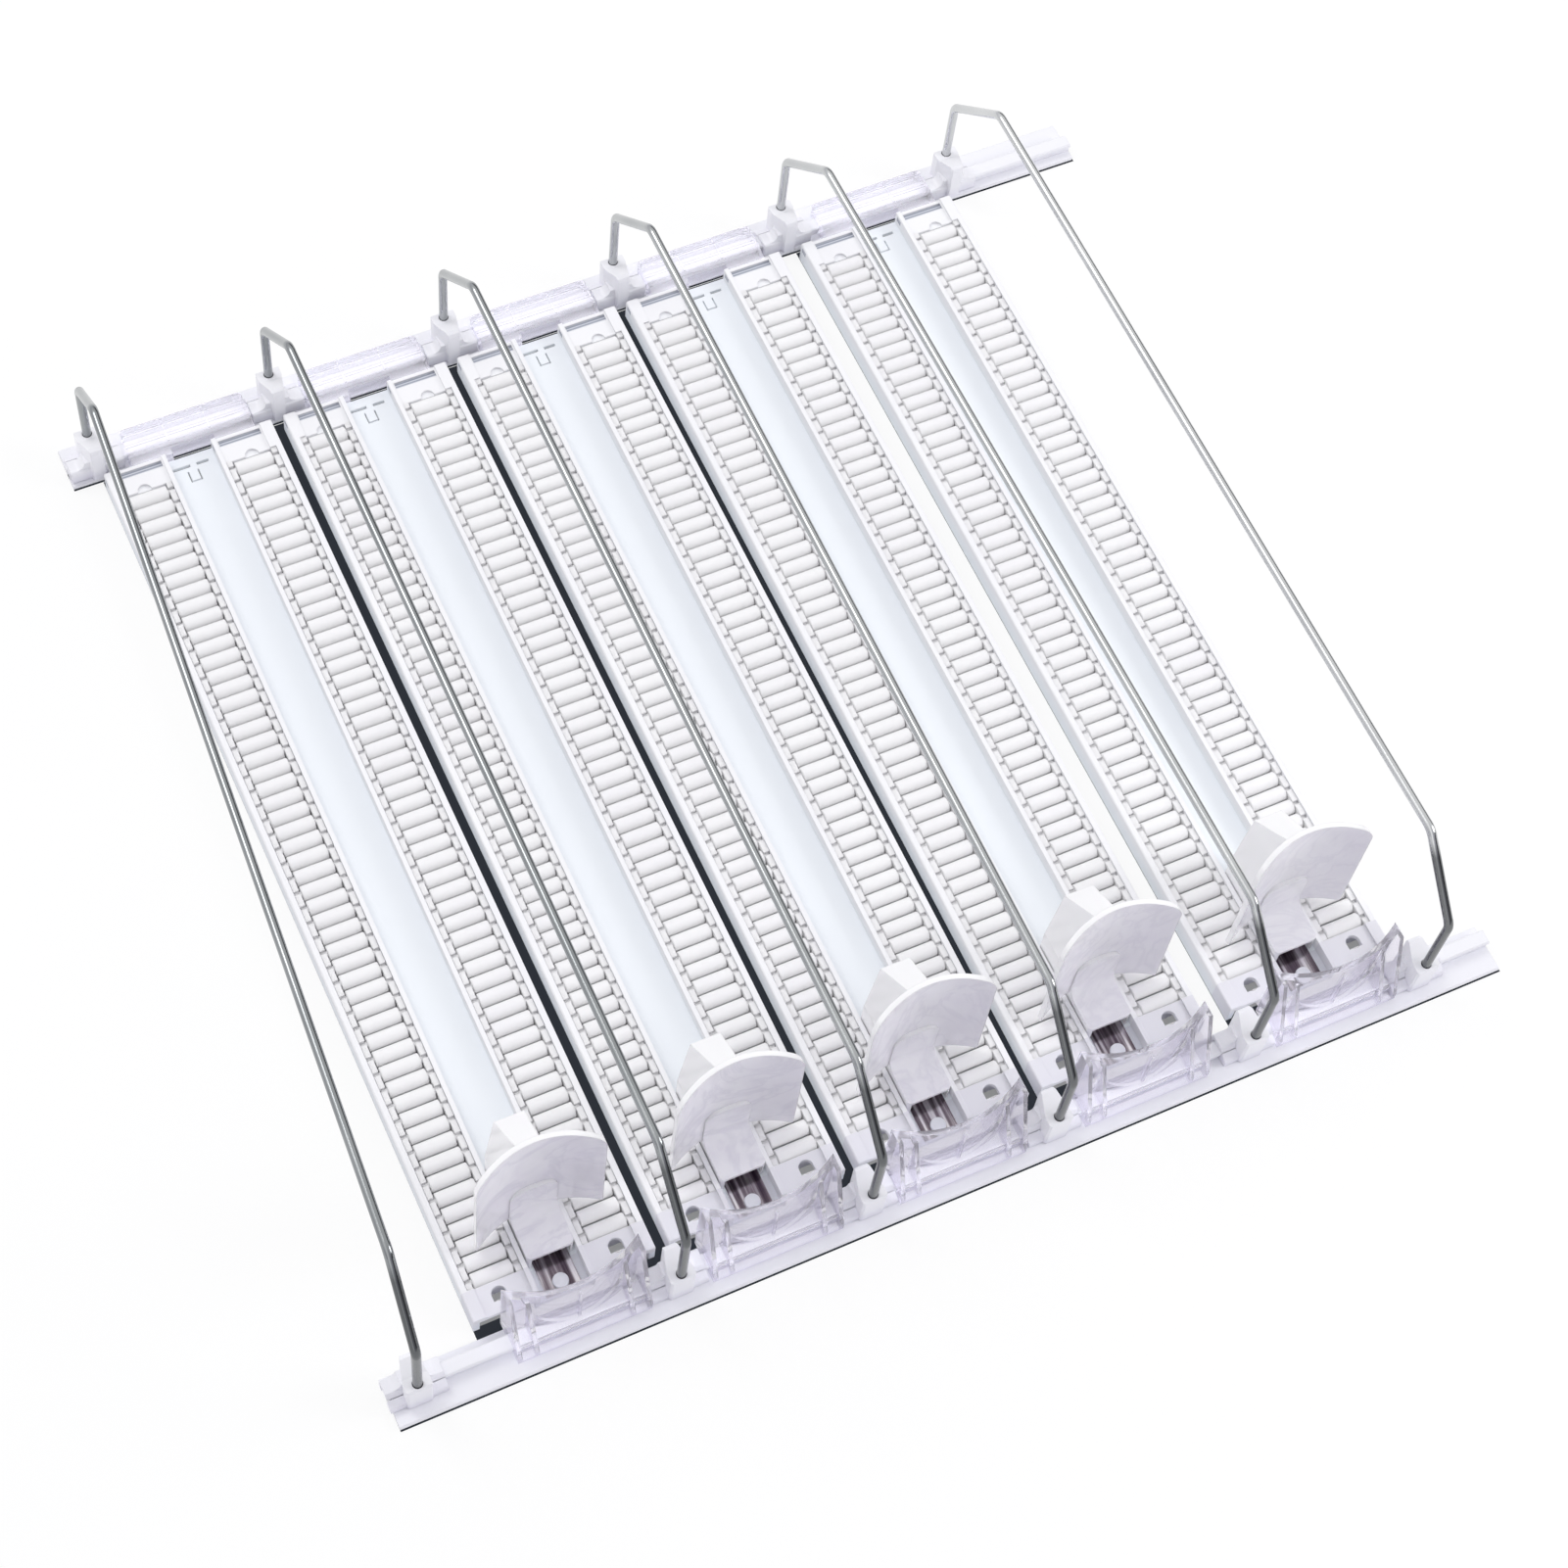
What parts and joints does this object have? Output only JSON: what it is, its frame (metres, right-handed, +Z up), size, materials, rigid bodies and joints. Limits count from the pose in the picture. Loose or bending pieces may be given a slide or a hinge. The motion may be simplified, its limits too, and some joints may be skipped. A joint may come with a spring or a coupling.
{
  "type": "fridge can organizer",
  "caption": "Roller-track can organizer: parallel tracks between two rails, each with a spring-loaded curved pusher, a clear front stop and wire dividers between the lanes.",
  "frame": {"origin": "on the shelf plane, halfway between the two staggered rails: the middle of the footprint", "axes": "+X across the lanes to the right, +Y from the front stops to the back, +Z up"},
  "size_m": [0.4546, 0.4066, 0.0782],
  "materials": {
    "rail_white": "satin",
    "track_white": "satin",
    "roller_white": "satin",
    "pusher_white": "gloss",
    "clip_white": "satin",
    "clear_plastic": "clear",
    "spring_steel": "polished",
    "wire_steel": "satin"
  },
  "bodies": {
    "organizer": {"front_rail": "rail_white", "back_rail": "rail_white", "track_1": "track_white", "track_2": "track_white", "track_3": "track_white", "track_4": "track_white", "track_5": "track_white", "roller_strip_1_left": "roller_white", "roller_strip_1_right": "roller_white", "roller_strip_2_left": "roller_white", "roller_strip_2_right": "roller_white", "roller_strip_3_left": "roller_white", "roller_strip_3_right": "roller_white", "roller_strip_4_left": "roller_white", "roller_strip_4_right": "roller_white", "roller_strip_5_left": "roller_white", "roller_strip_5_right": "roller_white", "spring_band_1": "spring_steel", "spring_band_2": "spring_steel", "spring_band_3": "spring_steel", "spring_band_4": "spring_steel", "spring_band_5": "spring_steel", "front_stop_1": "clear_plastic", "front_stop_2": "clear_plastic", "front_stop_3": "clear_plastic", "front_stop_4": "clear_plastic", "front_stop_5": "clear_plastic", "rear_clip_1": "clear_plastic", "rear_clip_2": "clear_plastic", "rear_clip_3": "clear_plastic", "rear_clip_4": "clear_plastic", "rear_clip_5": "clear_plastic", "divider_wire_1": "wire_steel", "divider_wire_2": "wire_steel", "divider_wire_3": "wire_steel", "divider_wire_4": "wire_steel", "divider_wire_5": "wire_steel", "divider_wire_6": "wire_steel", "front_foot_1": "clip_white", "front_foot_2": "clip_white", "front_foot_3": "clip_white", "front_foot_4": "clip_white", "front_foot_5": "clip_white", "front_foot_6": "clip_white", "back_foot_1": "clip_white", "back_foot_2": "clip_white", "back_foot_3": "clip_white", "back_foot_4": "clip_white", "back_foot_5": "clip_white", "back_foot_6": "clip_white"},
    "pusher_1_set": {"pusher_1": "pusher_white", "coil_spring_1": "spring_steel"},
    "pusher_2_set": {"pusher_2": "pusher_white", "coil_spring_2": "spring_steel"},
    "pusher_3_set": {"pusher_3": "pusher_white", "coil_spring_3": "spring_steel"},
    "pusher_4_set": {"pusher_4": "pusher_white", "coil_spring_4": "spring_steel"},
    "pusher_5_set": {"pusher_5": "pusher_white", "coil_spring_5": "spring_steel"}
  },
  "joints": [
    {"name": "pusher_1_slide", "type": "slide", "parent": "organizer", "child": "pusher_1_set", "axis": [0, 1, 0], "range_m": [0, 0.306], "stiffness_N_per_m": 10, "springref_m": -0.25},
    {"name": "pusher_2_slide", "type": "slide", "parent": "organizer", "child": "pusher_2_set", "axis": [0, 1, 0], "range_m": [0, 0.306], "stiffness_N_per_m": 10, "springref_m": -0.25},
    {"name": "pusher_3_slide", "type": "slide", "parent": "organizer", "child": "pusher_3_set", "axis": [0, 1, 0], "range_m": [0, 0.306], "stiffness_N_per_m": 10, "springref_m": -0.25},
    {"name": "pusher_4_slide", "type": "slide", "parent": "organizer", "child": "pusher_4_set", "axis": [0, 1, 0], "range_m": [0, 0.306], "stiffness_N_per_m": 10, "springref_m": -0.25},
    {"name": "pusher_5_slide", "type": "slide", "parent": "organizer", "child": "pusher_5_set", "axis": [0, 1, 0], "range_m": [0, 0.306], "stiffness_N_per_m": 10, "springref_m": -0.25}
  ]
}
